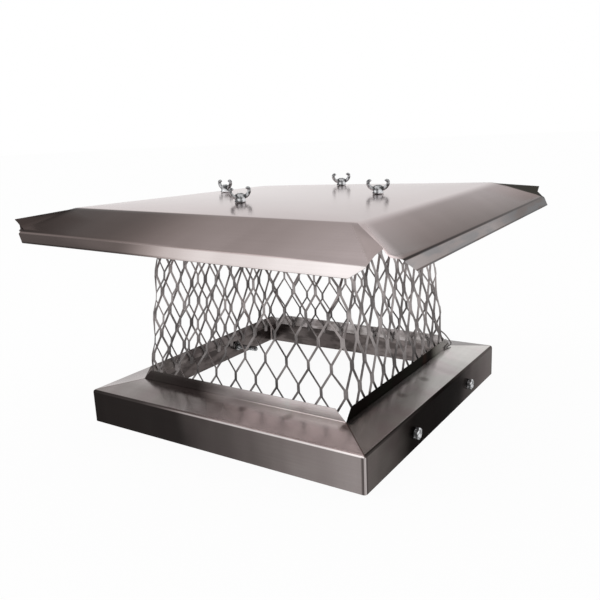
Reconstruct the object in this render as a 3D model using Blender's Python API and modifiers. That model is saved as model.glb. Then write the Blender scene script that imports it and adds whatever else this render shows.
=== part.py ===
"""Single-flue chimney cap: a folded base pan, an expanded-metal screen and a removable lid.

Metres, +Z up. The origin is the middle of the base pan, on the plane of its lower edge.
The front side faces -Y and the right side +X. Fasteners are plain-shanked.
"""
import math

import bmesh
import bpy
from mathutils import Matrix, Vector

# Sheet stock and fits
pan_sheet = 0.0006
lid_sheet = 0.0006
seat_gap = 0.0003
bore_clearance = 0.0003

# Base pan: a band that slips over the flue tile, a low slope, and an upstand round the opening
pan_width = 0.343
band_height = 0.0368
band_bend_radius = 0.0026
slope_width = 0.0411
slope_rise = 0.0067
upstand_height = 0.0113

# Screen: expanded metal bent round into a square sleeve, with its top edge turned in
screen_sheet = 0.0009
cells_round = 39
bond_rows = 9
foot_bond_drop = 0.0014
top_bond_drop = 0.0019
edge_bond_reach = 0.0275
screen_taper = 0.01765
foot_corner_radius = 0.010
top_corner_radius = 0.018
bend_spread_row = 6
corner_notch_share = 0.13
bond_half_width = 0.0019
bond_half_length = 0.0038
bond_point = 0.0046
strand_lift = 0.0010
# How far the cells of each side sit from an even spacing, in cells: on the walls, and at the turned edge
wall_shift_cells = {"front": -0.03, "right": 0.06, "back": -0.08, "left": -0.16}
edge_shift_cells = {"front": 0.0, "right": 0.25, "back": 0.0, "left": -0.25}

# Lid: crowned plateau, four sloping panels pinched up into a ridge at each corner, and a drip
# flange along each side
lid_overhang = 0.0454
panel_width = 0.0482
plateau_rise = 0.1937
panel_drop = 0.0219
crown_rise = 0.0040
corner_twist = 0.0043
plateau_bend = 0.005
plateau_corner_radius = 0.004
crease_bend = 0.0018
flange_drop = 0.0090
flange_flare = 0.0075
# Where each flange stops short of the corner on its left and its right: at its crease, and at its foot
flange_cuts = {"front": ((0.020, 0.033), (0.0165, 0.028)), "right": ((0.028, 0.035), (0.009, 0.019)),
               "back": ((0.024, 0.034), (0.014, 0.024)), "left": ((0.024, 0.034), (0.014, 0.024))}
corner_trim = 0.0060
ridge_rise = 0.0108
# Half section of a ridge at the eave: distances from its crest, with the share of its height there
ridge_section = ((0.0035, 0.70), (0.0070, 0.40), (0.0120, 0.08))

# Quarter-inch fasteners
bolt_diameter = 0.00635
hex_across_flats = 0.0111
hex_chamfer = 0.0007
head_height = 0.0042
nut_height = 0.0056
bolt_point = 0.0008
washer_diameter = 0.019
washer_thickness = 0.0013

# Lid fasteners: a bolt up through the turned edge of the screen, with a wing nut on the lid
washer_wall_gap = 0.002
lid_bolt_end = 0.0012
hub_foot_radius = 0.0058
hub_top_radius = 0.0047
hub_height = 0.0082
hub_foot_height = 0.0016
hub_edge = 0.0005
wing_span = 0.0265
wing_height = 0.0150
wing_thickness = 0.0024
wing_tip_radius = 0.0034
wing_root_wall = 0.0009
wing_root_height = 0.0026
# Shares of a wing's height where its outer edge leaves the curve of the tip, and of the hub's where it starts
wing_belly = 0.60
wing_flank = 0.35
wing_shoulder = 0.85
wing_turns = {"front": 62.0, "right": 28.0, "back": 52.0, "left": -12.0}

# Clamp bolts that grip the flue tile, two on the right side and two on the left
clamp_bolt_length = 0.0381
clamp_bolt_height = 0.0155
clamp_bolt_spacing = 0.150
clamp_bolt_shift = 0.0086

# Faceting
round_steps = 12
washer_steps = 16
bend_steps = 2
turning_steps = 18
turning_clear = 0.0002
cutter_reach = 0.005

side_names = ("front", "right", "back", "left")

# Sizes that follow from the ones above
pan_top = band_height + slope_rise
plateau_edge_height = pan_top + plateau_rise
screen_foot = pan_top - foot_bond_drop
top_row = bond_rows - 1
row_height = (plateau_edge_height - top_bond_drop - screen_foot) / top_row
crease_height = plateau_edge_height - panel_drop
pan_half = pan_width / 2
opening_half = pan_half - slope_width
lid_half = pan_half + lid_overhang
plateau_half = lid_half - panel_width
screen_top_half = opening_half - screen_taper
foot_half = opening_half - pan_sheet - seat_gap - screen_sheet / 2 - strand_lift
bolt_radius = bolt_diameter / 2
bore_radius = bolt_radius + bore_clearance
hex_corner_radius = hex_across_flats / math.sqrt(3)
lid_bolt_place = screen_top_half - washer_wall_gap - washer_diameter / 2
edge_stretch = edge_bond_reach / (row_height - top_bond_drop)


# Scene

def clear_scene():
    for item in list(bpy.data.objects):
        bpy.data.objects.remove(item, do_unlink=True)


def new_collection(name):
    group = bpy.data.collections.new(name)
    bpy.context.scene.collection.children.link(group)
    return group


clear_scene()
cap = new_collection("chimney_cap")
cutters = new_collection("cutters")


def make_material(name, color, roughness, metallic):
    material = bpy.data.materials.new(name)
    material.use_nodes = True
    shader = material.node_tree.nodes["Principled BSDF"]
    shader.inputs["Base Color"].default_value = (*color, 1.0)
    shader.inputs["Roughness"].default_value = roughness
    shader.inputs["Metallic"].default_value = metallic
    return material


pan_steel = make_material("pan_steel", (0.42, 0.39, 0.38), 0.25, 1.0)
lid_steel = make_material("lid_steel", (0.55, 0.52, 0.51), 0.28, 1.0)
screen_steel = make_material("screen_steel", (0.22, 0.22, 0.22), 0.40, 1.0)
plated_steel = make_material("plated_steel", (0.55, 0.55, 0.53), 0.30, 1.0)


def add_object(name, mesh, material, collection, smooth_angle=30.0):
    item = bpy.data.objects.new(name, mesh)
    collection.objects.link(item)
    if material and not mesh.materials:
        mesh.materials.append(material)
    mesh.shade_smooth()
    mesh.set_sharp_from_angle(angle=math.radians(smooth_angle))
    return item


def mesh_from(bm, name):
    mesh = bpy.data.meshes.new(name)
    bmesh.ops.recalc_face_normals(bm, faces=bm.faces)
    bm.to_mesh(mesh)
    bm.free()
    return mesh


def evaluated_mesh(item, name):
    """A plain mesh of an object as its modifiers leave it, with its points merged."""
    bpy.context.view_layer.update()
    graph = bpy.context.evaluated_depsgraph_get()
    mesh = bpy.data.meshes.new_from_object(item.evaluated_get(graph))
    mesh.name = name
    bm = bmesh.new()
    bm.from_mesh(mesh)
    bmesh.ops.remove_doubles(bm, verts=bm.verts, dist=1e-6)
    bm.to_mesh(mesh)
    bm.free()
    return mesh


def cutter(name, mesh):
    item = bpy.data.objects.new(name, mesh)
    cutters.objects.link(item)
    item.hide_render = True
    item.display_type = "WIRE"
    return item


def add_boolean(item, tool, operation):
    modifier = item.modifiers.new(operation.lower() + "_" + tool.name, "BOOLEAN")
    modifier.operation = operation
    modifier.object = tool
    return modifier


def turned(name, profile, steps=round_steps):
    """A solid of revolution about Z, from (radius, height) points that run down its outer side."""
    mesh = bpy.data.meshes.new(name)
    edges = [(i, i + 1) for i in range(len(profile) - 1)]
    if min(radius for radius, height in profile) > 0:
        edges.append((len(profile) - 1, 0))
    mesh.from_pydata([(radius, 0, height) for radius, height in profile], edges, [])
    item = bpy.data.objects.new(name, mesh)
    cutters.objects.link(item)
    screw = item.modifiers.new("turn", "SCREW")
    screw.steps = steps
    screw.render_steps = steps
    screw.use_merge_vertices = True
    screw.merge_threshold = 0.00001
    solid = evaluated_mesh(item, name)
    bpy.data.objects.remove(item)
    return solid


def rod(name, radius, bottom, top, steps=round_steps):
    """A plain cylinder mesh about Z."""
    bm = bmesh.new()
    bmesh.ops.create_cone(bm, cap_ends=True, segments=steps, radius1=radius, radius2=radius,
                          depth=top - bottom)
    bmesh.ops.translate(bm, verts=bm.verts, vec=(0, 0, (top + bottom) / 2))
    return mesh_from(bm, name)


def hex_prism(name, bottom, top):
    return rod(name, hex_corner_radius, bottom, top, steps=6)


def combined(name, first, steps):
    """The mesh that is left after (mesh, operation) steps on a first mesh."""
    item = bpy.data.objects.new(name, first)
    cutters.objects.link(item)
    tools = []
    for number, (mesh, operation) in enumerate(steps):
        tools.append(cutter(f"{name}_tool_{number}", mesh))
        add_boolean(item, tools[-1], operation)
    result = evaluated_mesh(item, name)
    for tool in tools:
        bpy.data.objects.remove(tool)
    bpy.data.objects.remove(item)
    return result


# Lid surface

def plateau_height(x, y):
    """Height of the lid's top face over the plateau: a shallow crown and a slight corner-to-corner twist."""
    crown = (1 - min(abs(x) / plateau_half, 1) ** 4) * (1 - min(abs(y) / plateau_half, 1) ** 4)
    return plateau_edge_height + crown_rise * crown + lid_twist(x, y)


def lid_twist(x, y):
    return corner_twist * (x / lid_half) * (y / lid_half)


def plateau_normal(x, y):
    step = 0.0005
    slope_x = (plateau_height(x + step, y) - plateau_height(x - step, y)) / (2 * step)
    slope_y = (plateau_height(x, y + step) - plateau_height(x, y - step)) / (2 * step)
    return Vector((-slope_x, -slope_y, 1)).normalized()


def bend_points(before, corner, after, setback):
    """Points of a round bend at a corner of a section, from the setback before it to the setback after."""
    start = corner + (before - corner).normalized() * setback
    end = corner + (after - corner).normalized() * setback
    points = []
    for step in range(bend_steps + 1):
        t = step / bend_steps
        points.append(start * (1 - t) ** 2 + corner * 2 * t * (1 - t) + end * t ** 2)
    return points


def lid_section():
    """Half section of the lid outside the plateau's flat, as (half width, height) points going down."""
    middle = Vector((0, plateau_edge_height))
    edge = Vector((plateau_half, plateau_edge_height))
    crease = Vector((lid_half, crease_height))
    foot = Vector((lid_half + flange_flare, crease_height - flange_drop))
    return bend_points(middle, edge, crease, plateau_bend), bend_points(edge, crease, foot, crease_bend), foot


middle_fractions = (-0.6, 0.0, 0.6)
flange_fractions = (-1.0, -0.97, -0.6, 0.0, 0.6, 0.97, 1.0)
crown_shares = (0.50, 0.67, 0.82)
panel_shares = (0.45, 0.8, 1.0)


def quarter_turn(index):
    """Rotation that takes the front side to side number index, anticlockwise from above."""
    return Matrix.Rotation(index * math.pi / 2, 3, "Z")


def lid_ring(bm, half, height, down=0.0, crowned=False):
    """One ring of the lid's points. The ridges at its corners grow with the share of the way down a panel."""
    ring = []
    radius = plateau_corner_radius * (1 - down)
    grown = (1 + down) / 2
    for side in range(4):
        turn = quarter_turn(side)
        ends = [(half - radius - reach * grown, -half, rise) for reach, rise in ridge_section]
        points = [(-x, y, rise) for x, y, rise in ends]
        points += [(fraction * half, -half, 0) for fraction in middle_fractions]
        points += reversed(ends)
        inset = radius * (1 - math.cos(math.pi / 4))
        points.append((half - inset, -half + inset, 1))
        for x, y, rise in points:
            spot = turn @ Vector((x, y, 0))
            z = plateau_height(spot.x, spot.y) if crowned else height + lid_twist(spot.x, spot.y)
            ring.append(bm.verts.new((spot.x, spot.y, z + ridge_rise * down * rise)))
    return ring


def bridge(bm, inner, outer):
    count = len(inner)
    for i in range(count):
        j = (i + 1) % count
        bm.faces.new((inner[i], outer[i], outer[j], inner[j]))


def lid_mesh():
    bm = bmesh.new()
    plateau_bend_section, crease_section, foot = lid_section()
    centre = bm.verts.new((0, 0, plateau_height(0, 0)))
    rings = [lid_ring(bm, plateau_half * share, 0, crowned=True) for share in crown_shares]
    for point in plateau_bend_section:
        rings.append(lid_ring(bm, point.x, point.y))
    edge = plateau_bend_section[-1]
    eave = Vector((lid_half, crease_height))
    trimmed = edge.lerp(eave, 1 - corner_trim / (eave.x - edge.x))
    for share in panel_shares:
        point = edge.lerp(trimmed, share)
        down = (point.x - edge.x) / (eave.x - edge.x)
        rings.append(lid_ring(bm, point.x, point.y, down))
    first = rings[0]
    for i in range(len(first)):
        bm.faces.new((centre, first[i], first[(i + 1) % len(first)]))
    for inner, outer in zip(rings, rings[1:]):
        bridge(bm, inner, outer)
    add_flanges(bm, rings[-1], crease_section, foot)
    return mesh_from(bm, "lid")


def add_flanges(bm, last_ring, crease_section, foot):
    """The crease and drip flange of each side, which stop short of the trimmed corners."""
    per_side = len(last_ring) // 4
    for side, name in enumerate(side_names):
        (left_top, left_foot), (right_top, right_foot) = flange_cuts[name]
        strips = [(point, left_top, right_top) for point in crease_section] + [(foot, left_foot, right_foot)]
        turn = quarter_turn(side)
        start = side * per_side + len(ridge_section) - 2
        row = last_ring[start:start + len(flange_fractions)]
        for point, left_cut, right_cut in strips:
            next_row = []
            for fraction in flange_fractions:
                reach = lid_half - (left_cut if fraction < 0 else right_cut)
                spot = turn @ Vector((fraction * reach, -point.x, 0))
                next_row.append(bm.verts.new((spot.x, spot.y, point.y + lid_twist(spot.x, spot.y))))
            for i in range(len(row) - 1):
                bm.faces.new((row[i], next_row[i], next_row[i + 1], row[i + 1]))
            row = next_row


# Screen surface

def sleeve_half(height):
    share = (height - screen_foot) / (plateau_edge_height - screen_foot)
    return foot_half + (screen_top_half - foot_half) * share


def sleeve_radius(height):
    share = (height - screen_foot) / (plateau_edge_height - screen_foot)
    return foot_corner_radius + (top_corner_radius - foot_corner_radius) * share


def sleeve_unit(height):
    """Width of one cell at a height of the sleeve."""
    half = sleeve_half(height)
    radius = sleeve_radius(height)
    return (8 * (half - radius) + 2 * math.pi * radius) / cells_round


def screen_top(x, y):
    """Middle of the screen's thickness where its turned edge lies against the lid."""
    return plateau_height(x, y) - lid_sheet - seat_gap - screen_sheet / 2


def cell_shift(cells, row):
    """How far a cell sits from an even spacing: the bending spreads the cells unevenly."""
    place = cells / cells_round * 4
    side = math.floor(place)
    ends = []
    for index in (side % 4, (side + 1) % 4):
        wall = wall_shift_cells[side_names[index]]
        edge = edge_shift_cells[side_names[index]]
        fade = min(max((row - bend_spread_row) / (top_row - bend_spread_row), 0), 1)
        ends.append(wall + (edge - wall) * fade)
    return ends[0] + (ends[1] - ends[0]) * (place - side)


def sleeve_place(cells, row, lift):
    """World place of a point of the screen: cells along the sleeve, bond row up it, and lift off its middle."""
    place = cells / cells_round * 4
    side = math.floor(place + 0.5)
    along = (place - side) * 2
    rise = screen_foot + row_height * row
    half = sleeve_half(min(rise, plateau_edge_height))
    radius = sleeve_radius(min(rise, plateau_edge_height))
    straight = half - radius
    quarter = straight + radius * math.pi / 4
    length = abs(along) * quarter
    if length <= straight:
        across, out, angle = length, half, 0.0
    else:
        angle = (length - straight) / radius
        across = straight + radius * math.sin(angle)
        out = straight + radius * math.cos(angle)
    across = math.copysign(across, along)
    turn = quarter_turn(side)
    spot = turn @ Vector((across, -out, 0))
    over = rise - screen_top(spot.x, spot.y)
    if over > 0:
        spot = turn @ Vector((across, -out + over * edge_stretch, 0))
        return Vector((spot.x, spot.y, screen_top(spot.x, spot.y)))
    normal = Vector((math.copysign(math.sin(angle), along), -math.cos(angle), 0))
    spot = spot + turn @ normal * lift
    return Vector((spot.x, spot.y, rise))


class BondPoints:
    """The six corners of a bond, shared by the four strands that leave it."""

    def __init__(self, bm, cells, row):
        centre = cells + cell_shift(cells, row)
        unit = sleeve_unit(min(screen_foot + row_height * row, plateau_edge_height))

        def corner(side, rise, lift):
            return bm.verts.new(sleeve_place(centre + side / unit, row + rise / row_height, lift))
        self.left_high = corner(-bond_half_width, bond_half_length, -strand_lift)
        self.left_low = corner(-bond_half_width, -bond_half_length, -strand_lift)
        self.right_high = corner(bond_half_width, bond_half_length, strand_lift)
        self.right_low = corner(bond_half_width, -bond_half_length, strand_lift)
        self.top = corner(0, bond_point, 0)
        self.foot = corner(0, -bond_point, 0)

    def face(self, bm):
        bm.faces.new((self.foot, self.right_low, self.right_high, self.top, self.left_high, self.left_low))


def screen_surface():
    bm = bmesh.new()
    half_cells_round = 2 * cells_round
    bonds = {}
    for row in range(bond_rows + 1):
        for half_cells in range((row + 1) % 2, half_cells_round, 2):
            side_place = (half_cells / half_cells_round * 4 + 0.5) % 1
            if row > top_row and min(side_place, 1 - side_place) < corner_notch_share:
                continue
            bonds[row, half_cells] = BondPoints(bm, half_cells / 2, row)
    for (row, half_cells), bond in bonds.items():
        bond.face(bm)
        upper_left = bonds.get((row + 1, (half_cells - 1) % half_cells_round))
        upper_right = bonds.get((row + 1, (half_cells + 1) % half_cells_round))
        if upper_left:
            bm.faces.new((bond.left_high, bond.top, upper_left.right_low, upper_left.foot))
        if upper_right:
            bm.faces.new((bond.top, bond.right_high, upper_right.foot, upper_right.left_low))
    return mesh_from(bm, "screen")


# Base pan surface

def pan_surface():
    bm = bmesh.new()
    bmesh.ops.create_cube(bm, size=1)
    bmesh.ops.scale(bm, verts=bm.verts, vec=(pan_width, pan_width, band_height))
    bmesh.ops.translate(bm, verts=bm.verts, vec=(0, 0, band_height / 2))
    bottom = min(bm.faces, key=lambda face: face.calc_center_median().z)
    top = max(bm.faces, key=lambda face: face.calc_center_median().z)
    bmesh.ops.delete(bm, geom=[bottom], context="FACES_ONLY")
    bmesh.ops.inset_region(bm, faces=[top], thickness=pan_half - opening_half, use_even_offset=True)
    bmesh.ops.translate(bm, verts=top.verts, vec=(0, 0, slope_rise))
    opening_edges = list(top.edges)
    bmesh.ops.delete(bm, geom=[top], context="FACES_ONLY")
    bends = [edge for edge in bm.edges if len(edge.link_faces) == 2 and min_reach(edge) > pan_half - 1e-5]
    for edge in opening_edges:
        raise_upstand(bm, edge)
    bmesh.ops.bevel(bm, geom=bends, offset=band_bend_radius, offset_type="OFFSET", segments=bend_steps,
                    profile=0.5, affect="EDGES", clamp_overlap=True)
    return mesh_from(bm, "base_pan")


def min_reach(edge):
    return min(max(abs(vert.co.x), abs(vert.co.y)) for vert in edge.verts)


def raise_upstand(bm, edge):
    """Extrude one side of the opening into an upstand whose ends are cut back at 45 degrees."""
    grown = bmesh.ops.extrude_edge_only(bm, edges=[edge])
    verts = [item for item in grown["geom"] if isinstance(item, bmesh.types.BMVert)]
    middle = (verts[0].co + verts[1].co) / 2
    for vert in verts:
        inward = (middle - vert.co).normalized() * upstand_height
        vert.co += inward + Vector((0, 0, upstand_height))


# Fasteners

def hex_blank(name, bottom, top, chamfer_bottom):
    """A hexagon prism with its upper corners, and if asked its lower ones, turned down."""
    lower = hex_chamfer if chamfer_bottom else 0
    reach = hex_corner_radius + turning_clear
    waist = hex_corner_radius - hex_chamfer
    profile = [(0, top), (waist, top), (reach, top - hex_chamfer), (reach, bottom + lower)]
    if chamfer_bottom:
        profile.append((waist, bottom))
    profile.append((0, bottom))
    turning = turned(name + "_turning", profile, turning_steps)
    return combined(name, hex_prism(name, bottom, top), [(turning, "INTERSECT")])


def hex_bolt(name, length):
    """A hex-head bolt about Z: the head below the origin plane, the shank above it."""
    profile = [(0, length), (bolt_radius - bolt_point, length), (bolt_radius, length - bolt_point),
               (bolt_radius, -head_height / 2), (0, -head_height / 2)]
    head = hex_blank(name + "_head", 0, head_height, False)
    head.transform(Matrix.Rotation(math.pi, 4, "X"))
    return combined(name, head, [(turned(name + "_shank", profile), "UNION")])


def hex_nut(name):
    """A nut that stands on the origin plane."""
    bore = rod(name + "_bore", bore_radius, -cutter_reach, nut_height + cutter_reach)
    return combined(name, hex_blank(name + "_blank", 0, nut_height, True), [(bore, "DIFFERENCE")])


def flat_washer(name):
    outer = washer_diameter / 2
    return turned(name, [(bore_radius, washer_thickness), (outer, washer_thickness), (outer, 0),
                         (bore_radius, 0)], washer_steps)


def wing_outline():
    """Outline of one ear in its own plane, from the hub out to the rounded tip and back."""
    end = wing_span / 2
    tip = Vector((end - wing_tip_radius, wing_height - wing_tip_radius))
    root = bore_radius + wing_root_wall
    points = [Vector((root, wing_root_height)),
              Vector((end - wing_tip_radius * wing_belly, wing_height * wing_flank)),
              Vector((end, wing_height * wing_belly))]
    for angle in range(0, 200, 40):
        turn = math.radians(angle)
        points.append(tip + wing_tip_radius * Vector((math.cos(turn), math.sin(turn))))
    points.append(Vector((hub_top_radius + wing_tip_radius / 2, hub_height)))
    points.append(Vector((root, hub_height * wing_shoulder)))
    return points


def wing_mesh(name, mirrored):
    """One ear as a filled outline, stood upright through the Z axis."""
    curve = bpy.data.curves.new(name, "CURVE")
    curve.dimensions = "2D"
    curve.fill_mode = "BOTH"
    curve.extrude = wing_thickness / 2
    outline = wing_outline()
    spline = curve.splines.new("POLY")
    spline.points.add(len(outline) - 1)
    spline.use_cyclic_u = True
    for point, spot in zip(spline.points, outline):
        point.co = (spot.x, spot.y, 0, 1)
    item = bpy.data.objects.new(name, curve)
    cutters.objects.link(item)
    mesh = evaluated_mesh(item, name)
    bpy.data.objects.remove(item)
    mesh.transform(Matrix.Rotation(math.pi / 2, 4, "X"))
    if mirrored:
        mesh.transform(Matrix.Rotation(math.pi, 4, "Z"))
    return mesh


def wing_nut(name):
    """A wing nut that stands on the origin plane, its ears along X."""
    hub = turned(name + "_hub", [(bore_radius, hub_height), (hub_top_radius - hub_edge, hub_height),
                                 (hub_top_radius, hub_height - hub_edge),
                                 (hub_foot_radius - hub_edge, hub_foot_height + hub_edge),
                                 (hub_foot_radius, hub_foot_height), (hub_foot_radius, 0),
                                 (bore_radius, 0)])
    ears = [(wing_mesh(f"{name}_ear_{side}", side), "UNION") for side in (False, True)]
    return combined(name, hub, ears)


# Placing

def place(name, mesh, material, matrix):
    item = add_object(name, mesh, material, cap)
    item.matrix_world = matrix
    return item


def lid_stack_matrix(side):
    """Frame of a lid fastener: its origin on the lid's top face, its Z along the lid's normal there."""
    spot = quarter_turn(side) @ Vector((0, -lid_bolt_place, 0))
    normal = plateau_normal(spot.x, spot.y)
    frame = Vector((0, 0, 1)).rotation_difference(normal).to_matrix().to_4x4()
    return Matrix.Translation((spot.x, spot.y, plateau_height(spot.x, spot.y))) @ frame


def clamp_matrix(side, along):
    """Frame of a clamp bolt: its origin on the band's outer face, its Z pointing into the flue."""
    turn = quarter_turn(side).to_4x4()
    spot = Matrix.Translation(turn @ Vector((0, -pan_half, clamp_bolt_height)))
    return spot @ Matrix.Translation((0, along, 0)) @ turn @ Matrix.Rotation(-math.pi / 2, 4, "X")


def make_lid():
    lid = add_object("lid", lid_mesh(), lid_steel, cap, smooth_angle=20.0)
    thicken(lid, lid_sheet, -1)
    for side, name in enumerate(side_names):
        bore = rod(f"lid_hole_{name}", bore_radius, -cutter_reach, cutter_reach)
        hole = cutter(f"lid_hole_{name}", bore)
        hole.matrix_world = lid_stack_matrix(side)
        add_boolean(lid, hole, "DIFFERENCE")


def thicken(item, thickness, offset, even=True):
    solidify = item.modifiers.new("sheet", "SOLIDIFY")
    solidify.thickness = thickness
    solidify.offset = offset
    solidify.use_even_offset = even
    return solidify


def make_base():
    pan = add_object("base_pan", pan_surface(), pan_steel, cap, smooth_angle=35.0)
    thicken(pan, pan_sheet, -1)
    bolt = hex_bolt("clamp_bolt", clamp_bolt_length)
    nut = hex_nut("clamp_nut")
    for side, side_name in ((1, "right"), (3, "left")):
        for end, end_name in ((-1, "front"), (1, "back")):
            name = f"{side_name}_{end_name}"
            frame = clamp_matrix(side, clamp_bolt_shift + end * clamp_bolt_spacing / 2)
            bore = rod(f"clamp_hole_{name}", bore_radius, -cutter_reach, cutter_reach)
            hole = cutter(f"clamp_hole_{name}", bore)
            hole.matrix_world = frame
            add_boolean(pan, hole, "DIFFERENCE")
            place(f"clamp_bolt_{name}", bolt, plated_steel, frame @ Matrix.Translation((0, 0, -seat_gap)))
            place(f"clamp_nut_{name}", nut, plated_steel,
                  frame @ Matrix.Translation((0, 0, pan_sheet + seat_gap)))


def make_screen():
    screen = add_object("screen", screen_surface(), screen_steel, cap, smooth_angle=25.0)
    thicken(screen, screen_sheet, 0, even=False)


def make_lid_fasteners():
    """Washer and bolt under the turned edge, wing nut on top, all on the lid's own normal."""
    screen_under = lid_sheet + 2 * seat_gap + screen_sheet
    washer_seat = -screen_under - washer_thickness
    head_seat = washer_seat - seat_gap
    bolt = hex_bolt("lid_bolt", seat_gap + hub_height + lid_bolt_end - head_seat)
    washer = flat_washer("lid_washer")
    nut = wing_nut("wing_nut")
    for side, name in enumerate(side_names):
        frame = lid_stack_matrix(side)
        place(f"lid_bolt_{name}", bolt, plated_steel, frame @ Matrix.Translation((0, 0, head_seat)))
        place(f"lid_washer_{name}", washer, plated_steel, frame @ Matrix.Translation((0, 0, washer_seat)))
        turn = Matrix.Rotation(math.radians(wing_turns[name]), 4, "Z")
        place(f"wing_nut_{name}", nut, plated_steel, frame @ Matrix.Translation((0, 0, seat_gap)) @ turn)


make_base()
make_screen()
make_lid()
make_lid_fasteners()
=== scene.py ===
"""Looks of the chimney cap: brushed stainless sheet, expanded-metal screen and bright fasteners."""
import math

import bmesh
import bpy
from mathutils import Matrix, Vector


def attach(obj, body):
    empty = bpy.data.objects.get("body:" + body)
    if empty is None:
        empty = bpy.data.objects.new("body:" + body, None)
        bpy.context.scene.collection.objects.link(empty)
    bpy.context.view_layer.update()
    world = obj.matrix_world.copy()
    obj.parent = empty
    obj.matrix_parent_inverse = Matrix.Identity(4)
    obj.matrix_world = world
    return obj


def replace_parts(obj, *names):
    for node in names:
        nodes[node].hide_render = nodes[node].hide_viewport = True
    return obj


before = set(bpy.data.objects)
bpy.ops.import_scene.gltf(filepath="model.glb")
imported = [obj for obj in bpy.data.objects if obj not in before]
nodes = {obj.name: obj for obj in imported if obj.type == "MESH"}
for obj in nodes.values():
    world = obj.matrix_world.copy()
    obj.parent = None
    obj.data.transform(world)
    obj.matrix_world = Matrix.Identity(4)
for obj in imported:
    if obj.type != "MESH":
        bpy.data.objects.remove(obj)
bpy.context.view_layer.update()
scene = bpy.context.scene
scene.view_settings.view_transform = "Standard"

side_names = ("front", "right", "back", "left")

# Sizes shared with the solids, in metres
pan_half = 0.1715
pan_sheet = 0.0006
band_top = 0.0368
opening_half = 0.1304
slope_rise = 0.0067
plateau_half = 0.1687
plateau_edge = 0.2372
crown_rise = 0.0040
corner_twist = 0.0043
lid_half = 0.2169
flange_reach = 0.2244
ridge_reach = 0.012
lid_bolt_place = 0.10125
lid_stack = 0.0021
clamp_height = 0.0155
clamp_shift = 0.0086
clamp_spacing = 0.150
seat_gap = 0.0003
washer_thickness = 0.0013
washer_radius = 0.0095
bore_radius = 0.003475
hub_height = 0.0082
thread_radius = 0.003175
thread_pitch = 0.00127
head_height = 0.0042
nut_height = 0.0056
hex_apothem = 0.00555
lid_bolt_length = 0.0129
clamp_bolt_length = 0.0381

# Sizes of what is in the scene only
thread_depth = 0.00062
wing_foot_radius = 0.0058
wing_top_radius = 0.0047
ear_root_radius = 0.0021
ear_tip_radius = 0.0015
ear_flatness = 1.1
ear_path = ((0.0042, 0.0048), (0.0062, 0.0054), (0.0084, 0.0070), (0.0099, 0.0092), (0.0104, 0.0113),
            (0.0098, 0.0129), (0.0085, 0.0132), (0.0077, 0.0124))
strand_radius = 0.0008
strand_path = ((0.1222, 0.1232, 0.0625), (0.1262, 0.1272, 0.0570), (0.1312, 0.1310, 0.0480),
               (0.1325, 0.1290, 0.0455), (0.1320, 0.1200, 0.0450), (0.1312, 0.1120, 0.0448))
sheet_grain_depth = 0.000004
screen_grain_depth = 0.00004
scratch_depth = 0.00002

# Angles in degrees: how far each wing nut is turned, and up to which angle an edge is smooth
wing_turns = {"front": 62.0, "right": 28.0, "back": 52.0, "left": -12.0}
lid_smoothing = 38.0
wing_smoothing = 50.0
other_smoothing = 35.0

# Tints of the steels. A pair is the tint where the steel is dark and the one from a pale tone on.
pale_tone = 0.6
lid_tints = ((1.0, 0.77, 0.71), (1.0, 0.855, 0.845))
flange_tints = ((1.0, 0.80, 0.75), (1.0, 0.93, 0.92))
pan_tints = ((1.0, 0.84, 0.81), (1.0, 0.92, 0.915))
pan_green_tints = ((0.96, 0.96, 0.84), (0.99, 0.96, 0.93))
screen_tint = (1.0, 0.91, 0.895)
zinc_tint = (0.97, 0.98, 1.0)

# Colours laid over the steel: stains, a cool cast on the right flange, and a painted dark reflection on a
# flank of the lid. For each, how far it covers the steel, and its colour
blue_grey = (0.35, (0.19, 0.225, 0.25))
# A painted dark reflection, laid on the flank at the far end of the lid's right side
dark_flank_reflection = (0.6, (0.055, 0.058, 0.048))
heat_brown = (0.45, (0.075, 0.045, 0.035))
seam_brown = (0.75, (0.09, 0.05, 0.035))

# Painted tones, which stand in for the studio that the sheets mirror. Each side has one tone, or stops
# of a place along the side, from -1 to 1, and the tone there.
lid_slope_tones = {
    "front": ((-1, 0.075), (-0.4, 0.12), (0.3, 0.33), (1, 0.42)),
    "right": ((-1, 0.52), (-0.4, 0.42), (1, 0.59)),
    "back": ((-1, 0.34), (-0.2, 0.26), (0.5, 0.20), (1, 0.30)),
    "left": ((-1, 0.30), (0, 0.22), (1, 0.34))}
lid_flange_tones = {
    "front": ((-1, 0.09), (-0.25, 0.08), (0.25, 0.43), (1, 0.57)),
    "right": ((-1, 0.43), (-0.5, 0.36), (0, 0.38), (0.45, 0.19), (1, 0.15)),
    "back": ((-1, 0.25), (0, 0.40), (1, 0.22)),
    "left": ((-1, 0.22), (0, 0.34), (1, 0.16))}
lid_crease_tones = {
    "front": ((-1, 0.20), (-0.4, 0.19), (0, 0.30), (1, 0.50)),
    "right": ((-1, 0.03), (1, 0.09)), "back": 0.10, "left": 0.10}
left_flank_tones = {"front": 0.05, "right": 0.95, "back": 0.12, "left": 0.40}
right_flank_tones = {"front": 0.40, "right": 0.06, "back": 0.35, "left": 0.14}
band_tones = {
    "front": ((-1, 0.022), (-0.3, 0.024), (0, 0.07), (1, 0.26)),
    "right": ((-1, 0.14), (-0.4, 0.014), (0.15, 0.012), (1, 0.20)),
    "back": ((-1, 0.20), (-0.2, 0.07), (0.4, 0.05), (1, 0.16)),
    "left": ((-1, 0.16), (-0.3, 0.05), (0.3, 0.07), (1, 0.18))}
band_edge_tones = {
    "front": ((-1, 0.03), (-0.6, 0.05), (0.2, 0.58), (1, 0.90)),
    "right": ((-1, 0.05), (0, 0.012), (1, 0.14)), "back": 0.3, "left": 0.3}
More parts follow.
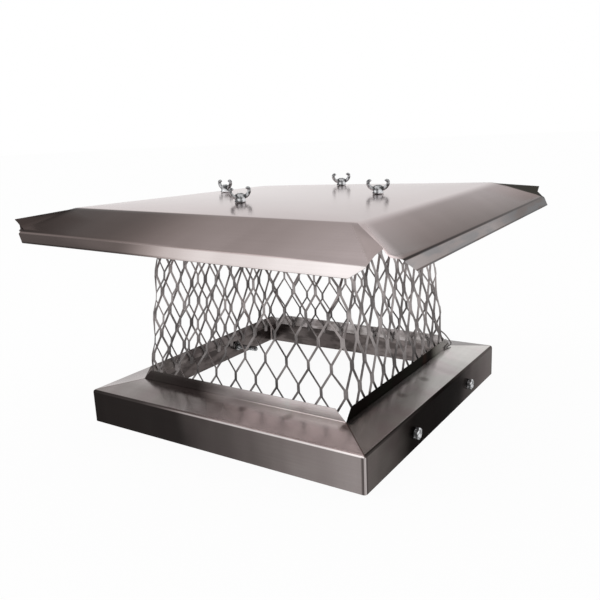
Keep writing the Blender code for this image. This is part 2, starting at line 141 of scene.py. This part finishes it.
pan_slope_tones = {
    "front": ((-1, 0.37), (-0.5, 0.31), (0, 0.58), (1, 0.60)),
    "right": ((-1, 0.46), (-0.3, 0.47), (0.2, 0.53), (1, 0.88)),
    "back": ((-1, 0.6), (0, 0.4), (1, 0.6)),
    "left": ((-1, 0.6), (0, 0.5), (0.6, 0.8), (1, 0.95))}
upstand_tones = {
    "front": ((-1, 0.09), (-0.45, 0.07), (0, 0.58), (0.5, 1.0)),
    "right": ((-1, 0.02), (0.5, 0.03), (1, 0.8)),
    "back": ((-1, 0.3), (0, 0.12), (1, 0.2)),
    "left": ((-1, 0.2), (0, 0.1), (1, 0.3))}
inner_band_tones = {
    "front": ((-1, 0.065), (1, 0.078)), "right": ((-1, 0.065), (1, 0.078)),
    "back": ((-1, 0.1625), (-0.2, 0.143), (0.4, 0.0715), (1, 0.1105)),
    "left": ((-1, 0.1235), (0, 0.078), (1, 0.052))}
inner_upstand_tones = {
    "front": 0.2, "right": 0.2,
    "back": ((-1, 0.40), (1, 0.44)), "left": ((-1, 0.2), (1, 0.16))}

# Factors on the painted reflections, given like the tones: for the lid's slopes at their foot, and for the
# pan's beside its opening
lid_foot_factors = {
    "front": ((-1, 0.52), (0, 1.08), (1, 1.20)), "right": 0.47,
    "back": ((-1, 0.70), (1, 0.90)), "left": ((-1, 0.90), (1, 0.70))}
opening_factors = {
    "front": ((-1, 1.24), (-0.3, 1.44), (0.1, 0.60), (1, 0.54)),
    "right": ((-1, 0.80), (0, 1.24), (1, 0.92)), "back": 1.0, "left": 1.0}

# The share of its tone that the flange loses at its rim, a painted shadow line, given like the tones
rim_shadow_shares = {
    "front": ((-1, 0.55), (-0.1, 0.45), (0.2, 0.08), (1, 0.05)), "right": 0.6, "back": 0.4, "left": 0.4}

# The plateau's painted reflection: its tone at the middle, its change to the metre along x and y, and its
# bend along y
plateau_tone = 0.79
plateau_change = (-0.5, 0.25)
plateau_bend = -2.5

# At the upright bends of the band: the tone of the painted highlight on each bend, and the factor for the
# painted shadow line beside each
corner_bend_highlight = 0.50
corner_shadow_factor = 0.35

# Places of the heat marks on the pan, as x and y in metres, and how far each one spreads
heat_spots = ((0.1462, 0.0125), (0.1451, -0.0408), (0.1296, 0.0529), (0.0205, -0.1448), (0.0732, -0.1411),
              (0.1338, -0.1388), (-0.1445, 0.030), (-0.1452, -0.052), (0.035, 0.1449), (-0.061, 0.1440))
heat_reach = (0.001, 0.008)


# Numbers in a node tree

class Number:
    """A number in a node tree, with arithmetic."""

    def __init__(self, socket):
        self.socket = socket
        self.tree = socket.id_data

    def math(self, operation, *others):
        node = self.tree.nodes.new("ShaderNodeMath")
        node.operation = operation
        for slot, item in zip(node.inputs, (self, *others)):
            feed(slot, item)
        return Number(node.outputs[0])

    def __add__(self, other):
        return self.math("ADD", other)

    def __sub__(self, other):
        return self.math("SUBTRACT", other)

    def __mul__(self, other):
        return self.math("MULTIPLY", other)

    def __truediv__(self, other):
        return self.math("DIVIDE", other)

    def absolute(self):
        return self.math("ABSOLUTE")

    def above(self, other):
        """1 where this number is greater than the other, and 0 elsewhere."""
        return self.math("GREATER_THAN", other)

    def between(self, low, high):
        """low where this number is 0, high where it is 1."""
        return (self * (high - low)) + low

    def flipped(self):
        return self.between(1.0, 0.0)

    def smooth(self, low, high):
        """0 below low, 1 above high, and an even blend between."""
        node = self.tree.nodes.new("ShaderNodeMapRange")
        node.interpolation_type = "SMOOTHSTEP"
        feed(node.inputs["Value"], self)
        feed(node.inputs["From Min"], low)
        feed(node.inputs["From Max"], high)
        return Number(node.outputs["Result"])

    def zone(self, edge, steps):
        """A mask that rises from the first step past an edge to the second, and then falls from the third
        to the fourth if they are given."""
        places = [edge + step for step in steps]
        mask = self.smooth(*places[:2])
        return mask * self.smooth(*places[2:]).flipped() if places[2:] else mask

    def ramp(self, stops):
        """A curve through (place, value) stops, with places from -1 to 1."""
        node = self.tree.nodes.new("ShaderNodeValToRGB")
        node.color_ramp.interpolation = "EASE"
        elements = node.color_ramp.elements
        while len(elements) < len(stops):
            elements.new(0.5)
        for element, (place, value) in zip(elements, stops):
            element.position = (place + 1) / 2
            element.color = (value, value, value, 1)
        feed(node.inputs[0], self.between(0.5, 1.0))
        return Number(node.outputs[0])


def feed(slot, item):
    """Links an input to a number or an output, or sets it to a plain value or colour."""
    if isinstance(item, Number):
        item = item.socket
    if isinstance(item, bpy.types.NodeSocket):
        slot.id_data.links.new(item, slot)
    elif isinstance(item, tuple) and len(slot.default_value) == 4:
        slot.default_value = (*item, 1)
    else:
        slot.default_value = item


def coordinates(tree, kind):
    """The x, y and z of one kind of texture coordinate."""
    node = tree.nodes.new("ShaderNodeTexCoord")
    split = tree.nodes.new("ShaderNodeSeparateXYZ")
    feed(split.inputs[0], node.outputs[kind])
    return [Number(socket) for socket in split.outputs]


def noise(place, per_metre, detail=3.0):
    """Noise over two or three coordinates, its scale one number for all of them or one for each."""
    tree = place[0].tree
    scales = per_metre if isinstance(per_metre, tuple) else (per_metre,) * len(place)
    join = tree.nodes.new("ShaderNodeCombineXYZ")
    for slot, axis, scale in zip(join.inputs, place, scales):
        feed(slot, axis * scale)
    node = tree.nodes.new("ShaderNodeTexNoise")
    feed(node.inputs["Scale"], 1.0)
    feed(node.inputs["Detail"], detail)
    feed(node.inputs["Vector"], join.outputs[0])
    return Number(node.outputs[0])


def mixed(factor, first, second):
    """first where factor is 0, second where it is 1."""
    return (factor.flipped() * first) + (factor * second)


def varied(tone, pattern, amount):
    """The tone, changed by half the amount up or down where the pattern is 1 or 0."""
    return tone * (((pattern - 0.5) * amount) + 1.0)


def blended(factor, first, second):
    """A colour between two colours."""
    node = factor.tree.nodes.new("ShaderNodeMix")
    node.data_type = "RGBA"
    feed(node.inputs["Factor"], factor)
    feed(node.inputs[6], first)
    feed(node.inputs[7], second)
    return node.outputs[2]


def colored(tone, tint):
    """A colour: the tint times the tone."""
    node = tone.tree.nodes.new("ShaderNodeVectorMath")
    node.operation = "SCALE"
    feed(node.inputs[0], tint)
    feed(node.inputs["Scale"], tone)
    return node.outputs[0]


def steel_color(tone, tints):
    """Steel at a tone, between its tint where it is dark and its tint where it is pale."""
    return colored(tone, blended(tone.smooth(0.0, pale_tone), *tints))


def stained_or_shaded(color, mask, stain_or_shade):
    """A colour with a stain, a cast or a painted shade laid over it where the mask is 1."""
    strength, overlay_color = stain_or_shade
    return blended(mask * strength, color, overlay_color)


class Around:
    """Where a point lies on a four-sided piece: a mask for each side, how far along it the point is, in
    metres and as a share from -1 to 1, and how far out."""

    def __init__(self, tree):
        self.place = coordinates(tree, "Object")
        self.x, self.y, self.z = self.place
        across = self.x.absolute()
        deep = self.y.absolute()
        lateral = across.above(deep)
        plus_x = self.x.above(0.0)
        plus_y = self.y.above(0.0)
        self.front = lateral.flipped() * plus_y.flipped()
        self.right = lateral * plus_x
        self.back = lateral.flipped() * plus_y
        self.left = lateral * plus_x.flipped()
        self.out = across.math("MAXIMUM", deep)
        self.along = self.x * (self.front - self.back) + self.y * (self.right - self.left)
        self.share = self.along / self.out
        self.off_diagonal = (across - deep).absolute()

    def tone(self, table):
        """The tone that a table gives the side that the point is on."""
        total = None
        for name in side_names:
            stops = table[name]
            value = self.share.ramp(stops) if isinstance(stops, tuple) else stops
            part = getattr(self, name) * value
            total = total + part if total else part
        return total

    def grain(self):
        """Fine rolling lines that run along each side."""
        return noise((self.along, self.out, self.z), per_metre=(7.0, 850.0, 850.0), detail=2.0)


def new_material(name, metallic=1.0):
    material = bpy.data.materials.new(name)
    material.use_nodes = True
    tree = material.node_tree
    shader = tree.nodes["Principled BSDF"]
    feed(shader.inputs["Metallic"], metallic)
    return material, tree, shader


def set_surface(shader, color, specular, roughness, height, depth):
    """Feeds a shader its colour, its specular tint, its roughness and a bump of a depth in metres."""
    bump = shader.id_data.nodes.new("ShaderNodeBump")
    feed(bump.inputs["Strength"], 1.0)
    feed(bump.inputs["Distance"], depth)
    feed(bump.inputs["Height"], height)
    feed(shader.inputs["Base Color"], color)
    feed(shader.inputs["Specular Tint"], specular)
    feed(shader.inputs["Roughness"], roughness)
    feed(shader.inputs["Normal"], bump.outputs[0])


# Materials

def lid_steel():
    material, tree, shader = new_material("lid_steel")
    around = Around(tree)
    down = ((around.out - plateau_half) / (lid_half - plateau_half)).math("MAXIMUM", 0.0)
    on_slope = mixed(around.right, around.out.zone(plateau_half, (-0.003, 0.001)),
                     around.out.zone(plateau_half, (-0.003, 0.009)))
    on_flange = around.out.zone(lid_half, (-0.0003, 0.0009))
    at_crease = around.out.zone(lid_half, (-0.0020, -0.0008, 0.0001, 0.0010))
    at_rim = around.out.zone(flange_reach, (-0.0012, -0.0006))

    plateau = (around.x * plateau_change[0]) + (around.y * plateau_change[1])
    plateau = plateau + (around.y * around.y * plateau_bend) + plateau_tone
    slope = around.tone(lid_slope_tones) * mixed(down, 1.0, around.tone(lid_foot_factors))
    slope, near_crest, far_flank = lid_ridges(around, down, slope)
    tone = mixed(on_slope, plateau, slope)
    tone = mixed(on_flange, tone, around.tone(lid_flange_tones))
    tone = mixed(at_crease, tone, around.tone(lid_crease_tones))
    # Painted shadow line along the flange's rim
    tone = tone * (around.tone(rim_shadow_shares) * at_rim).flipped()

    grain = around.grain()
    streak_slant = 10 / 24
    slanted = around.along + (around.out * streak_slant)
    streaks = noise((slanted, around.out), per_metre=(24.0, 6.0), detail=2.0)
    tone = varied(tone, streaks, on_slope * 0.22)
    tone = varied(tone, grain, amount=0.10)
    tone = varied(tone, noise(around.place, per_metre=9.0), amount=0.16)

    cool = noise((around.along, around.z), per_metre=(22.0, 130.0), detail=2.0).smooth(0.40, 0.62)
    color = blended(on_flange, steel_color(tone, lid_tints), steel_color(tone, flange_tints))
    color = stained_or_shaded(color, cool * around.right * on_flange, blue_grey)
    # Painted dark reflection on the flank at the far end of the right side
    color = stained_or_shaded(color, far_flank * on_slope, dark_flank_reflection)
    roughness = grain.between(0.13, 0.23) + (near_crest * 0.25)
    set_surface(shader, color, on_slope.between(0.8, 0.6), roughness, grain, sheet_grain_depth)
    return material


def lid_ridges(around, down, slope):
    """The slopes' tones with the painted highlights and shades of the two flanks at each end, which the
    pinched ridges turn to the light; a mask of all flanks; and a mask of the one at the right side's far
    end, which gets a painted dark reflection."""
    flank_width = down.between(ridge_reach / 2, ridge_reach)
    from_left = (around.out + around.along) / flank_width
    from_right = (around.out - around.along) / flank_width
    on_left = from_left.smooth(0.7, 2.8).flipped()
    on_right = from_right.smooth(1.0, 1.3).flipped()
    near_crest = from_left.math("MINIMUM", from_right).smooth(0.6, 1.6).flipped() * down.above(0.05)
    # Painted highlights and shades on the flanks of the pinched ridges
    slope = mixed(on_left, slope, around.tone(left_flank_tones) * down.between(0.60, 1.05))
    slope = mixed(on_right, slope, around.tone(right_flank_tones))
    return slope, near_crest, on_right * around.right


def pan_steel():
    material, tree, shader = new_material("pan_steel")
    around = Around(tree)
    wander = noise(around.place, per_metre=24.0, detail=1.5).between(-0.15, 0.15)
    around.share = around.share + wander
    on_band = around.out.zone(pan_half, (-0.0026, -0.0016))
    off_upstand = around.out.zone(opening_half, (0.0002, 0.0010))
    off_opening = around.out.zone(opening_half, (0.002, 0.020))
    # Painted highlight and shade along the band's top bend
    at_edge = around.z.zone(band_top, (-0.0024, -0.0018, 0.0004, 0.0011)) * on_band
    above_band = around.z.zone(band_top, (0.002, 0.005))
    outside = around.out.above(opening_half - pan_sheet / 2)

    slope = around.tone(pan_slope_tones) * mixed(off_opening, around.tone(opening_factors), 1.0)
    tone = mixed(off_upstand, around.tone(upstand_tones), slope)
    tone = mixed(on_band, tone, around.tone(band_tones))
    tone = mixed(at_edge, tone, around.tone(band_edge_tones))
    # Painted shade and reflections on the faces that look into the flue
    inner = mixed(above_band, around.tone(inner_band_tones), around.tone(inner_upstand_tones))
    blots = noise((around.along, around.z, around.out), per_metre=(45.0, 120.0, 20.0)).smooth(0.38, 0.62)
    inner = varied(inner, blots, amount=0.7)
    tone = mixed(outside, inner, tone)
    tone = mixed(inside_band(around), tone, inner)

    grain = around.grain()
    clouds = noise(around.place, per_metre=14.0)
    streaks = noise((around.along, around.out), per_metre=(55.0, 9.0), detail=2.0)
    for pattern, amount in ((grain, 0.16), (clouds, 0.30), (streaks, 0.22)):
        tone = varied(tone, pattern, amount)
    # Painted highlight on the corner bends of the band, and painted shadow lines beside them
    bend_highlight, shadow_line = corner_bend(around)
    tone = mixed(shadow_line, tone, tone * corner_shadow_factor)
    tone = mixed(bend_highlight, tone, corner_bend_highlight)

    hue = noise(around.place, per_metre=30.0, detail=2.0).smooth(0.36, 0.60)
    hue = hue * around.right.between(0.3, 1.0) * on_band.between(1.0, 0.3)
    seam = around.off_diagonal.smooth(0.0003, 0.0011).flipped()
    seam = seam * around.out.zone(pan_half, (-0.0015, 0.0)).flipped()
    color = blended(hue, steel_color(tone, pan_tints), steel_color(tone, pan_green_tints))
    color = stained_or_shaded(color, heat_marks(around), heat_brown)
    color = stained_or_shaded(color, seam, seam_brown)
    roughness = mixed(outside, 0.5, clouds.between(0.18, 0.30))
    set_surface(shader, color, (0.45, 0.45, 0.45), roughness, grain, sheet_grain_depth)
    return material


def heat_marks(around):
    """A mask of the round marks that heat left on the slope."""
    marks = None
    for x, y in heat_spots:
        distance = ((around.x - x).math("POWER", 2.0) + (around.y - y).math("POWER", 2.0)).math("SQRT")
        mark = distance.smooth(*heat_reach).flipped()
        marks = marks.math("MAXIMUM", mark) if marks else mark
    return marks


def inside_band(around):
    """A mask of the faces of the band and the slope that look into the flue."""
    band = around.out.zone(pan_half, (-pan_sheet * 0.75, -pan_sheet * 0.4)).flipped()
    band = band * around.out.above(pan_half - 0.0012) * around.z.zone(band_top, (-0.0033, -0.0023)).flipped()
    grade = slope_rise / (pan_half - opening_half)
    depth = (around.out * -grade) + (band_top + pan_half * grade) - around.z
    slope = depth.above(pan_sheet / 2) * around.out.above(pan_half - 0.003).flipped()
    return band.math("MAXIMUM", slope * around.out.above(opening_half + 0.0006))


def corner_bend(around):
    """Two masks: the painted highlights on the upright bends at the corners of the band, and the painted
    shadow lines beside them.
    """
    on_face = around.z.zone(band_top, (-0.0024, -0.0014)).flipped() * around.out.above(pan_half - 0.0012)
    lateral = around.right + around.left
    past_bend = around.out - around.along.absolute() - lateral.between(0.0010, 0.0018)
    bend_highlight = past_bend.smooth(-0.0002, 0.0003).flipped()
    shadow_line = past_bend.zone(0.0, (0.0, 0.0005, 0.0020, 0.0036))
    return bend_highlight * on_face, shadow_line * on_face * lateral.between(1.0, 0.5)


def screen_steel():
    material, tree, shader = new_material("screen_steel")
    place = coordinates(tree, "Object")
    higher = place[2].smooth(0.06, 0.14)
    patches = noise(place, per_metre=40.0)
    grain = noise(place, per_metre=(900.0, 900.0, 300.0))
    tone = patches.smooth(0.36, 0.64).between(0.085, 0.235) * higher.between(1.0, 1.7)
    color = colored(varied(tone, grain, amount=0.5), screen_tint)
    set_surface(shader, color, (1.0, 1.0, 1.0), patches.between(0.3, 0.5), grain, screen_grain_depth)
    return material


def bright_steel():
    """Plated steel with painted dark and light reflections broken up over its small faces."""
    material, tree, shader = new_material("bright_steel", metallic=0.7)
    place = coordinates(tree, "Object")
    above_seat = place[2].smooth(-0.0004, 0.0)
    higher = place[2].smooth(0.0030, 0.0050)
    patches = noise(place, per_metre=260.0, detail=1.0)
    scratches = noise(place, per_metre=2500.0)
    # Painted glints on the bolt heads; on the rest, a painted highlight low down and painted shade higher up
    head_tone = patches.smooth(0.42, 0.58).between(0.25, 0.83)
    tone = patches.smooth(0.38, 0.64).between(0.09, 0.64) * higher.between(1.25, 0.8)
    color = colored(mixed(above_seat, head_tone, tone), zinc_tint)
    set_surface(shader, color, (0.5, 0.5, 0.5), patches.between(0.18, 0.34), scratches, scratch_depth)
    return material


# Fastener shapes

def polar(radius, share, height):
    """The point at a radius and a height, a share of a full turn about Z."""
    angle = 2 * math.pi * share
    return radius * math.cos(angle), radius * math.sin(angle), height


def ring(bm, points):
    return [bm.verts.new(point) for point in points]


def circle(bm, radius, height, steps):
    return ring(bm, [polar(radius, i / steps, height) for i in range(steps)])


def skin(bm, rings, closed=False):
    """Faces from each ring to the next, and from the last to the first if closed, or else over both ends."""
    pairs = list(zip(rings, rings[1:]))
    if closed:
        pairs.append((rings[-1], rings[0]))
    else:
        bm.faces.new(rings[-1])
        bm.faces.new(reversed(rings[0]))
    for lower, upper in pairs:
        for i in range(len(lower)):
            bm.faces.new((lower[i - 1], lower[i], upper[i], upper[i - 1]))


def finish_mesh(bm, name, smoothing=other_smoothing):
    mesh = bpy.data.meshes.new(name)
    bmesh.ops.recalc_face_normals(bm, faces=bm.faces)
    bm.to_mesh(mesh)
    bm.free()
    mesh.shade_smooth()
    mesh.set_sharp_from_angle(angle=math.radians(smoothing))
    return mesh


def lathe(name, profile, steps, smoothing=other_smoothing, extra=None):
    """A closed profile of (radius, height) points turned about Z, with what an extra function adds to it."""
    bm = bmesh.new()
    skin(bm, [circle(bm, radius, height, steps) for radius, height in profile], closed=True)
    if extra:
        extra(bm)
    return finish_mesh(bm, name, smoothing)


def hexagon(bm, bottom, top, bore=None, both_chamfered=False):
    """A hexagon with its corners turned down on top, and below too if asked, whole or with a bore."""
    steps = 48
    sixth = math.pi / 3
    waist = hex_apothem * 0.95
    chamfer = math.tan(math.radians(30))
    lead_depth = 0.0004
    lead_width = 0.0005
    rings = []

    def add_ring(share, height, slant):
        """A ring between a circle, at share 0, and the hexagon, at share 1."""
        points = []
        for i in range(steps):
            angle = 2 * math.pi * i / steps
            corner = hex_apothem / math.cos((angle + sixth / 2) % sixth - sixth / 2)
            radius = waist + (corner - waist) * share
            points.append(polar(radius, i / steps, height + (radius - waist) * slant))
        rings.append(ring(bm, points))

    shares = (0.0, 0.35, 0.7, 1.0)
    if bore:
        rings.append(circle(bm, bore, top - lead_depth, steps))
        rings.append(circle(bm, bore + lead_width, top, steps))
    for share in shares:
        add_ring(share, top, -chamfer)
    for share in reversed(shares) if both_chamfered else (1.0,):
        add_ring(share, bottom, chamfer if both_chamfered else 0.0)
    if bore:
        rings.append(circle(bm, bore + lead_width, bottom, steps))
        rings.append(circle(bm, bore, bottom + lead_depth, steps))
    skin(bm, rings, closed=bool(bore))


def thread(bm, bottom, top):
    """A screw thread about Z with a tapered point at the top."""
    steps = 24
    per_turn = 8
    point_height = 0.0008
    flank_steepness = 2.6
    crest_share = 0.3
    count = int((top - bottom) / thread_pitch * per_turn)
    rings = []
    for level in range(count + 1):
        z = bottom + (top - bottom) * level / count
        limit = thread_radius - max(0.0, z - (top - point_height))
        points = []
        for i in range(steps):
            phase = (z / thread_pitch - i / steps) % 1
            groove = min(max(abs(phase - 0.5) * flank_steepness - crest_share, 0.0), 1.0)
            points.append(polar(min(thread_radius - thread_depth * groove, limit), i / steps, z))
        rings.append(ring(bm, points))
    skin(bm, rings)


def tube(bm, path, radii, steps, flatness=1.0):
    """A bar through the points of a path: round, or wider across the path's plane by the flatness."""
    rings = []
    for i, point in enumerate(path):
        ahead = path[min(i + 1, len(path) - 1)] - path[max(i - 1, 0)]
        side = ahead.cross(Vector((0, 0, 1))).normalized()
        up = side.cross(ahead).normalized()
        side *= flatness
        rings.append(ring(bm, [point + (side * math.cos(a) + up * math.sin(a)) * radii[i]
                               for a in (2 * math.pi * k / steps for k in range(steps))]))
    skin(bm, rings)


def curve_through(points, per_span=6):
    """Points of a smooth curve through the given ones."""
    result = []
    for i in range(len(points) - 1):
        before = points[max(i - 1, 0)]
        start = points[i]
        end = points[i + 1]
        after = points[min(i + 2, len(points) - 1)]
        for step in range(per_span):
            t = step / per_span
            result.append(0.5 * ((2 * start) + (end - before) * t
                                 + (2 * before - 5 * start + 4 * end - after) * t ** 2
                                 + (3 * start - before - 3 * end + after) * t ** 3))
    result.append(points[-1])
    return result


def wing_ears(bm):
    """Two flat bars that rise from the hub and hook back over at their tips."""
    for mirror in (-1, 1):
        path = curve_through([Vector((mirror * x, 0, z)) for x, z in ear_path])
        taper = (ear_root_radius - ear_tip_radius) / (len(path) - 1)
        tube(bm, path, [ear_root_radius - taper * i for i in range(len(path))], 12, ear_flatness)


def wing_nut_mesh():
    foot = wing_foot_radius
    top = wing_top_radius
    profile = [(bore_radius, 0.0004), (bore_radius + 0.0004, 0.0), (foot - 0.0004, 0.0), (foot, 0.0004),
               (foot, 0.0013), (foot - 0.0003, 0.0017), (foot - 0.0007, 0.0021), (top + 0.0002, 0.0050),
               (top, hub_height - 0.0007), (top - 0.0003, hub_height - 0.0002), (top - 0.0007, hub_height),
               (bore_radius + 0.0003, hub_height), (bore_radius, hub_height - 0.0003)]
    return lathe("wing_nut_detail", profile, 40, wing_smoothing, wing_ears)


def washer_mesh():
    soft = 0.0003
    profile = [(bore_radius, soft), (bore_radius + soft, 0.0), (washer_radius - soft, 0.0),
               (washer_radius, soft), (washer_radius, washer_thickness - soft),
               (washer_radius - soft, washer_thickness), (bore_radius + soft, washer_thickness),
               (bore_radius, washer_thickness - soft)]
    return lathe("washer_detail", profile, 48)


def bolt_mesh(name, length):
    """A bolt whose head hangs under the origin, and whose thread starts a little inside the head."""
    thread_start = -0.0005
    bm = bmesh.new()
    hexagon(bm, -head_height, 0.0)
    upside_down = Matrix.Rotation(math.pi, 3, "X")
    bmesh.ops.rotate(bm, verts=bm.verts, cent=(0, 0, -head_height / 2), matrix=upside_down)
    thread(bm, thread_start, length)
    return finish_mesh(bm, name)


def nut_mesh():
    bm = bmesh.new()
    hexagon(bm, 0.0, nut_height, bore=bore_radius, both_chamfered=True)
    return finish_mesh(bm, "hex_nut_detail")


# Placing

def plateau_height(x, y):
    crown = (1 - (abs(x) / plateau_half) ** 4) * (1 - (abs(y) / plateau_half) ** 4)
    return plateau_edge + crown_rise * crown + corner_twist * (x / lid_half) * (y / lid_half)


def lid_frame(side):
    """Frame of a lid fastener: its origin on the lid's top face, its Z along the lid's normal there."""
    spot = Matrix.Rotation(side * math.pi / 2, 3, "Z") @ Vector((0, -lid_bolt_place, 0))
    step = 0.0005
    slope_x = (plateau_height(spot.x + step, spot.y) - plateau_height(spot.x - step, spot.y)) / (2 * step)
    slope_y = (plateau_height(spot.x, spot.y + step) - plateau_height(spot.x, spot.y - step)) / (2 * step)
    tilt = Vector((0, 0, 1)).rotation_difference(Vector((-slope_x, -slope_y, 1))).to_matrix().to_4x4()
    return Matrix.Translation((spot.x, spot.y, plateau_height(spot.x, spot.y))) @ tilt


def clamp_frame(side, along):
    """Frame of a clamp bolt: its origin on the band's outer face, its Z pointing into the flue."""
    turn = Matrix.Rotation(side * math.pi / 2, 4, "Z")
    spot = Matrix.Translation(turn @ Vector((0, -pan_half, clamp_height)))
    return spot @ Matrix.Translation((0, along, 0)) @ turn @ Matrix.Rotation(-math.pi / 2, 4, "X")


def raised(height):
    return Matrix.Translation((0, 0, height))


def dress(item, material):
    item.data.materials.clear()
    item.data.materials.append(material)


def add_piece(name, mesh, matrix, material):
    item = bpy.data.objects.new(name, mesh)
    scene.collection.objects.link(item)
    item.matrix_world = matrix
    dress(item, material)
    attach(item, "root")
    return item


def build_fasteners(material):
    lid_bolt = bolt_mesh("lid_bolt_detail", lid_bolt_length)
    clamp_bolt = bolt_mesh("clamp_bolt_detail", clamp_bolt_length)
    wing = wing_nut_mesh()
    nut = nut_mesh()
    washer = washer_mesh()
    washer_seat = -lid_stack - washer_thickness

    def add(piece, node, place, mesh, matrix):
        item = add_piece(f"{piece}_{place}", mesh, matrix, material)
        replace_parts(item, f"{node}_{place}")

    for side, name in enumerate(side_names):
        base = lid_frame(side)
        turn = Matrix.Rotation(math.radians(wing_turns[name]), 4, "Z")
        add("bolt", "lid_bolt", name, lid_bolt, base @ raised(washer_seat - seat_gap))
        add("washer", "lid_washer", name, washer, base @ raised(washer_seat))
        add("wing", "wing_nut", name, wing, base @ raised(seat_gap) @ turn)
    for side_name in ("right", "left"):
        for end, end_name in ((-1, "front"), (1, "back")):
            place = f"{side_name}_{end_name}"
            base = clamp_frame(side_names.index(side_name), clamp_shift + end * clamp_spacing / 2)
            add("clamp", "clamp_bolt", place, clamp_bolt, base @ raised(-seat_gap))
            add("nut", "clamp_nut", place, nut, base @ raised(pan_sheet + seat_gap))


def build_lid(node, material):
    """The lid's own shape, with its faces joined up so that it is shaded as one smooth sheet."""
    bm = bmesh.new()
    corners = ring(bm, [vertex.co for vertex in node.data.vertices])
    for face in node.data.polygons:
        bm.faces.new([corners[i] for i in face.vertices])
    bmesh.ops.remove_doubles(bm, verts=bm.verts, dist=1e-6)
    mesh = finish_mesh(bm, "lid_sheet", lid_smoothing)
    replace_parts(add_piece("lid_sheet", mesh, Matrix(), material), "lid")


def build_stray_strand(material):
    """The cut strand of the screen that stands out at the back right corner."""
    path = curve_through([Vector(point) for point in strand_path])
    bm = bmesh.new()
    tube(bm, path, [strand_radius] * len(path), 8)
    add_piece("stray_strand", finish_mesh(bm, "stray_strand"), Matrix(), material)


# Stage

def seen_white(tree):
    """1 for the rays that show the background: straight from the camera, or by way of metal or glass."""
    path = tree.nodes.new("ShaderNodeLightPath")
    kinds = ("Is Camera Ray", "Is Glossy Ray", "Is Transmission Ray")
    camera, glossy, clear = (Number(path.outputs[kind]) for kind in kinds)
    return camera.math("MAXIMUM", glossy).math("MAXIMUM", clear)


def build_floor():
    """A pale floor just under the part, which glows white where it is seen."""
    half_width = 30
    drop = 0.0004
    color = (0.9, 0.9, 0.9)
    glow_share = 0.95
    bm = bmesh.new()
    bmesh.ops.create_grid(bm, x_segments=8, y_segments=8, size=half_width)
    mesh = bpy.data.meshes.new("floor")
    bm.to_mesh(mesh)
    bm.free()
    floor = bpy.data.objects.new("floor", mesh)
    floor.location.z = -drop
    scene.collection.objects.link(floor)
    material = bpy.data.materials.new("floor_white")
    material.use_nodes = True
    tree = material.node_tree
    tree.nodes.clear()
    diffuse = tree.nodes.new("ShaderNodeBsdfDiffuse")
    glow = tree.nodes.new("ShaderNodeEmission")
    mix = tree.nodes.new("ShaderNodeMixShader")
    output = tree.nodes.new("ShaderNodeOutputMaterial")
    feed(diffuse.inputs["Color"], color)
    feed(mix.inputs[0], seen_white(tree) * glow_share)
    feed(mix.inputs[1], diffuse.outputs[0])
    feed(mix.inputs[2], glow.outputs[0])
    feed(output.inputs["Surface"], mix.outputs[0])
    mesh.materials.append(material)


def build_world():
    """A white studio, slightly greyer overhead."""
    world = bpy.data.worlds.new("studio")
    scene.world = world
    world.use_nodes = True
    height = coordinates(world.node_tree, "Generated")[2]
    background = world.node_tree.nodes["Background"]
    feed(background.inputs["Color"], height.smooth(0.30, 0.95).between(1.0, 0.78))


def build_softbox():
    light = bpy.data.lights.new("softbox", "AREA")
    light.shape = "RECTANGLE"
    light.size = 1.1
    light.size_y = 0.8
    light.energy = 2.6
    item = bpy.data.objects.new("softbox", light)
    scene.collection.objects.link(item)
    distance = 1.7
    towards = Vector((-0.42, -0.40, 0.82)).normalized()
    item.location = towards * distance
    item.rotation_euler = towards.to_track_quat("Z", "Y").to_euler()


def build_camera():
    """A camera where the photo was taken from, fitted to the photo's edges."""
    azimuth = math.radians(33.5583)
    elevation = math.radians(14.6564)
    swing, tilt, roll = 0.0939, 1.0606, -2.5126
    distance = 0.78695
    focal = 676.57
    picture = 600
    sensor = 36
    target = Vector((0, 0, 0.1029))
    back = Vector((math.sin(azimuth) * math.cos(elevation), -math.cos(azimuth) * math.cos(elevation),
                   math.sin(elevation)))
    x = Vector((math.cos(azimuth), math.sin(azimuth), 0))
    z = back.copy()
    y = z.cross(x)

    def turned(axis, degrees, vector):
        return Matrix.Rotation(math.radians(degrees), 3, axis) @ vector
    x, z = turned(y, swing, x), turned(y, swing, z)
    y, z = turned(x, tilt, y), turned(x, tilt, z)
    x, y = turned(z, roll, x), turned(z, roll, y)
    lens = bpy.data.cameras.new("camera")
    lens.sensor_width = sensor
    lens.lens = focal / picture * sensor
    camera = bpy.data.objects.new("camera", lens)
    matrix = Matrix((x, y, z)).transposed().to_4x4()
    matrix.translation = target + back * distance
    camera.matrix_world = matrix
    scene.collection.objects.link(camera)
    scene.camera = camera


build_lid(nodes["lid"], lid_steel())
dress(nodes["base_pan"], pan_steel())
screen_material = screen_steel()
dress(nodes["screen"], screen_material)
build_fasteners(bright_steel())
build_stray_strand(screen_material)
build_floor()
build_world()
build_softbox()
build_camera()
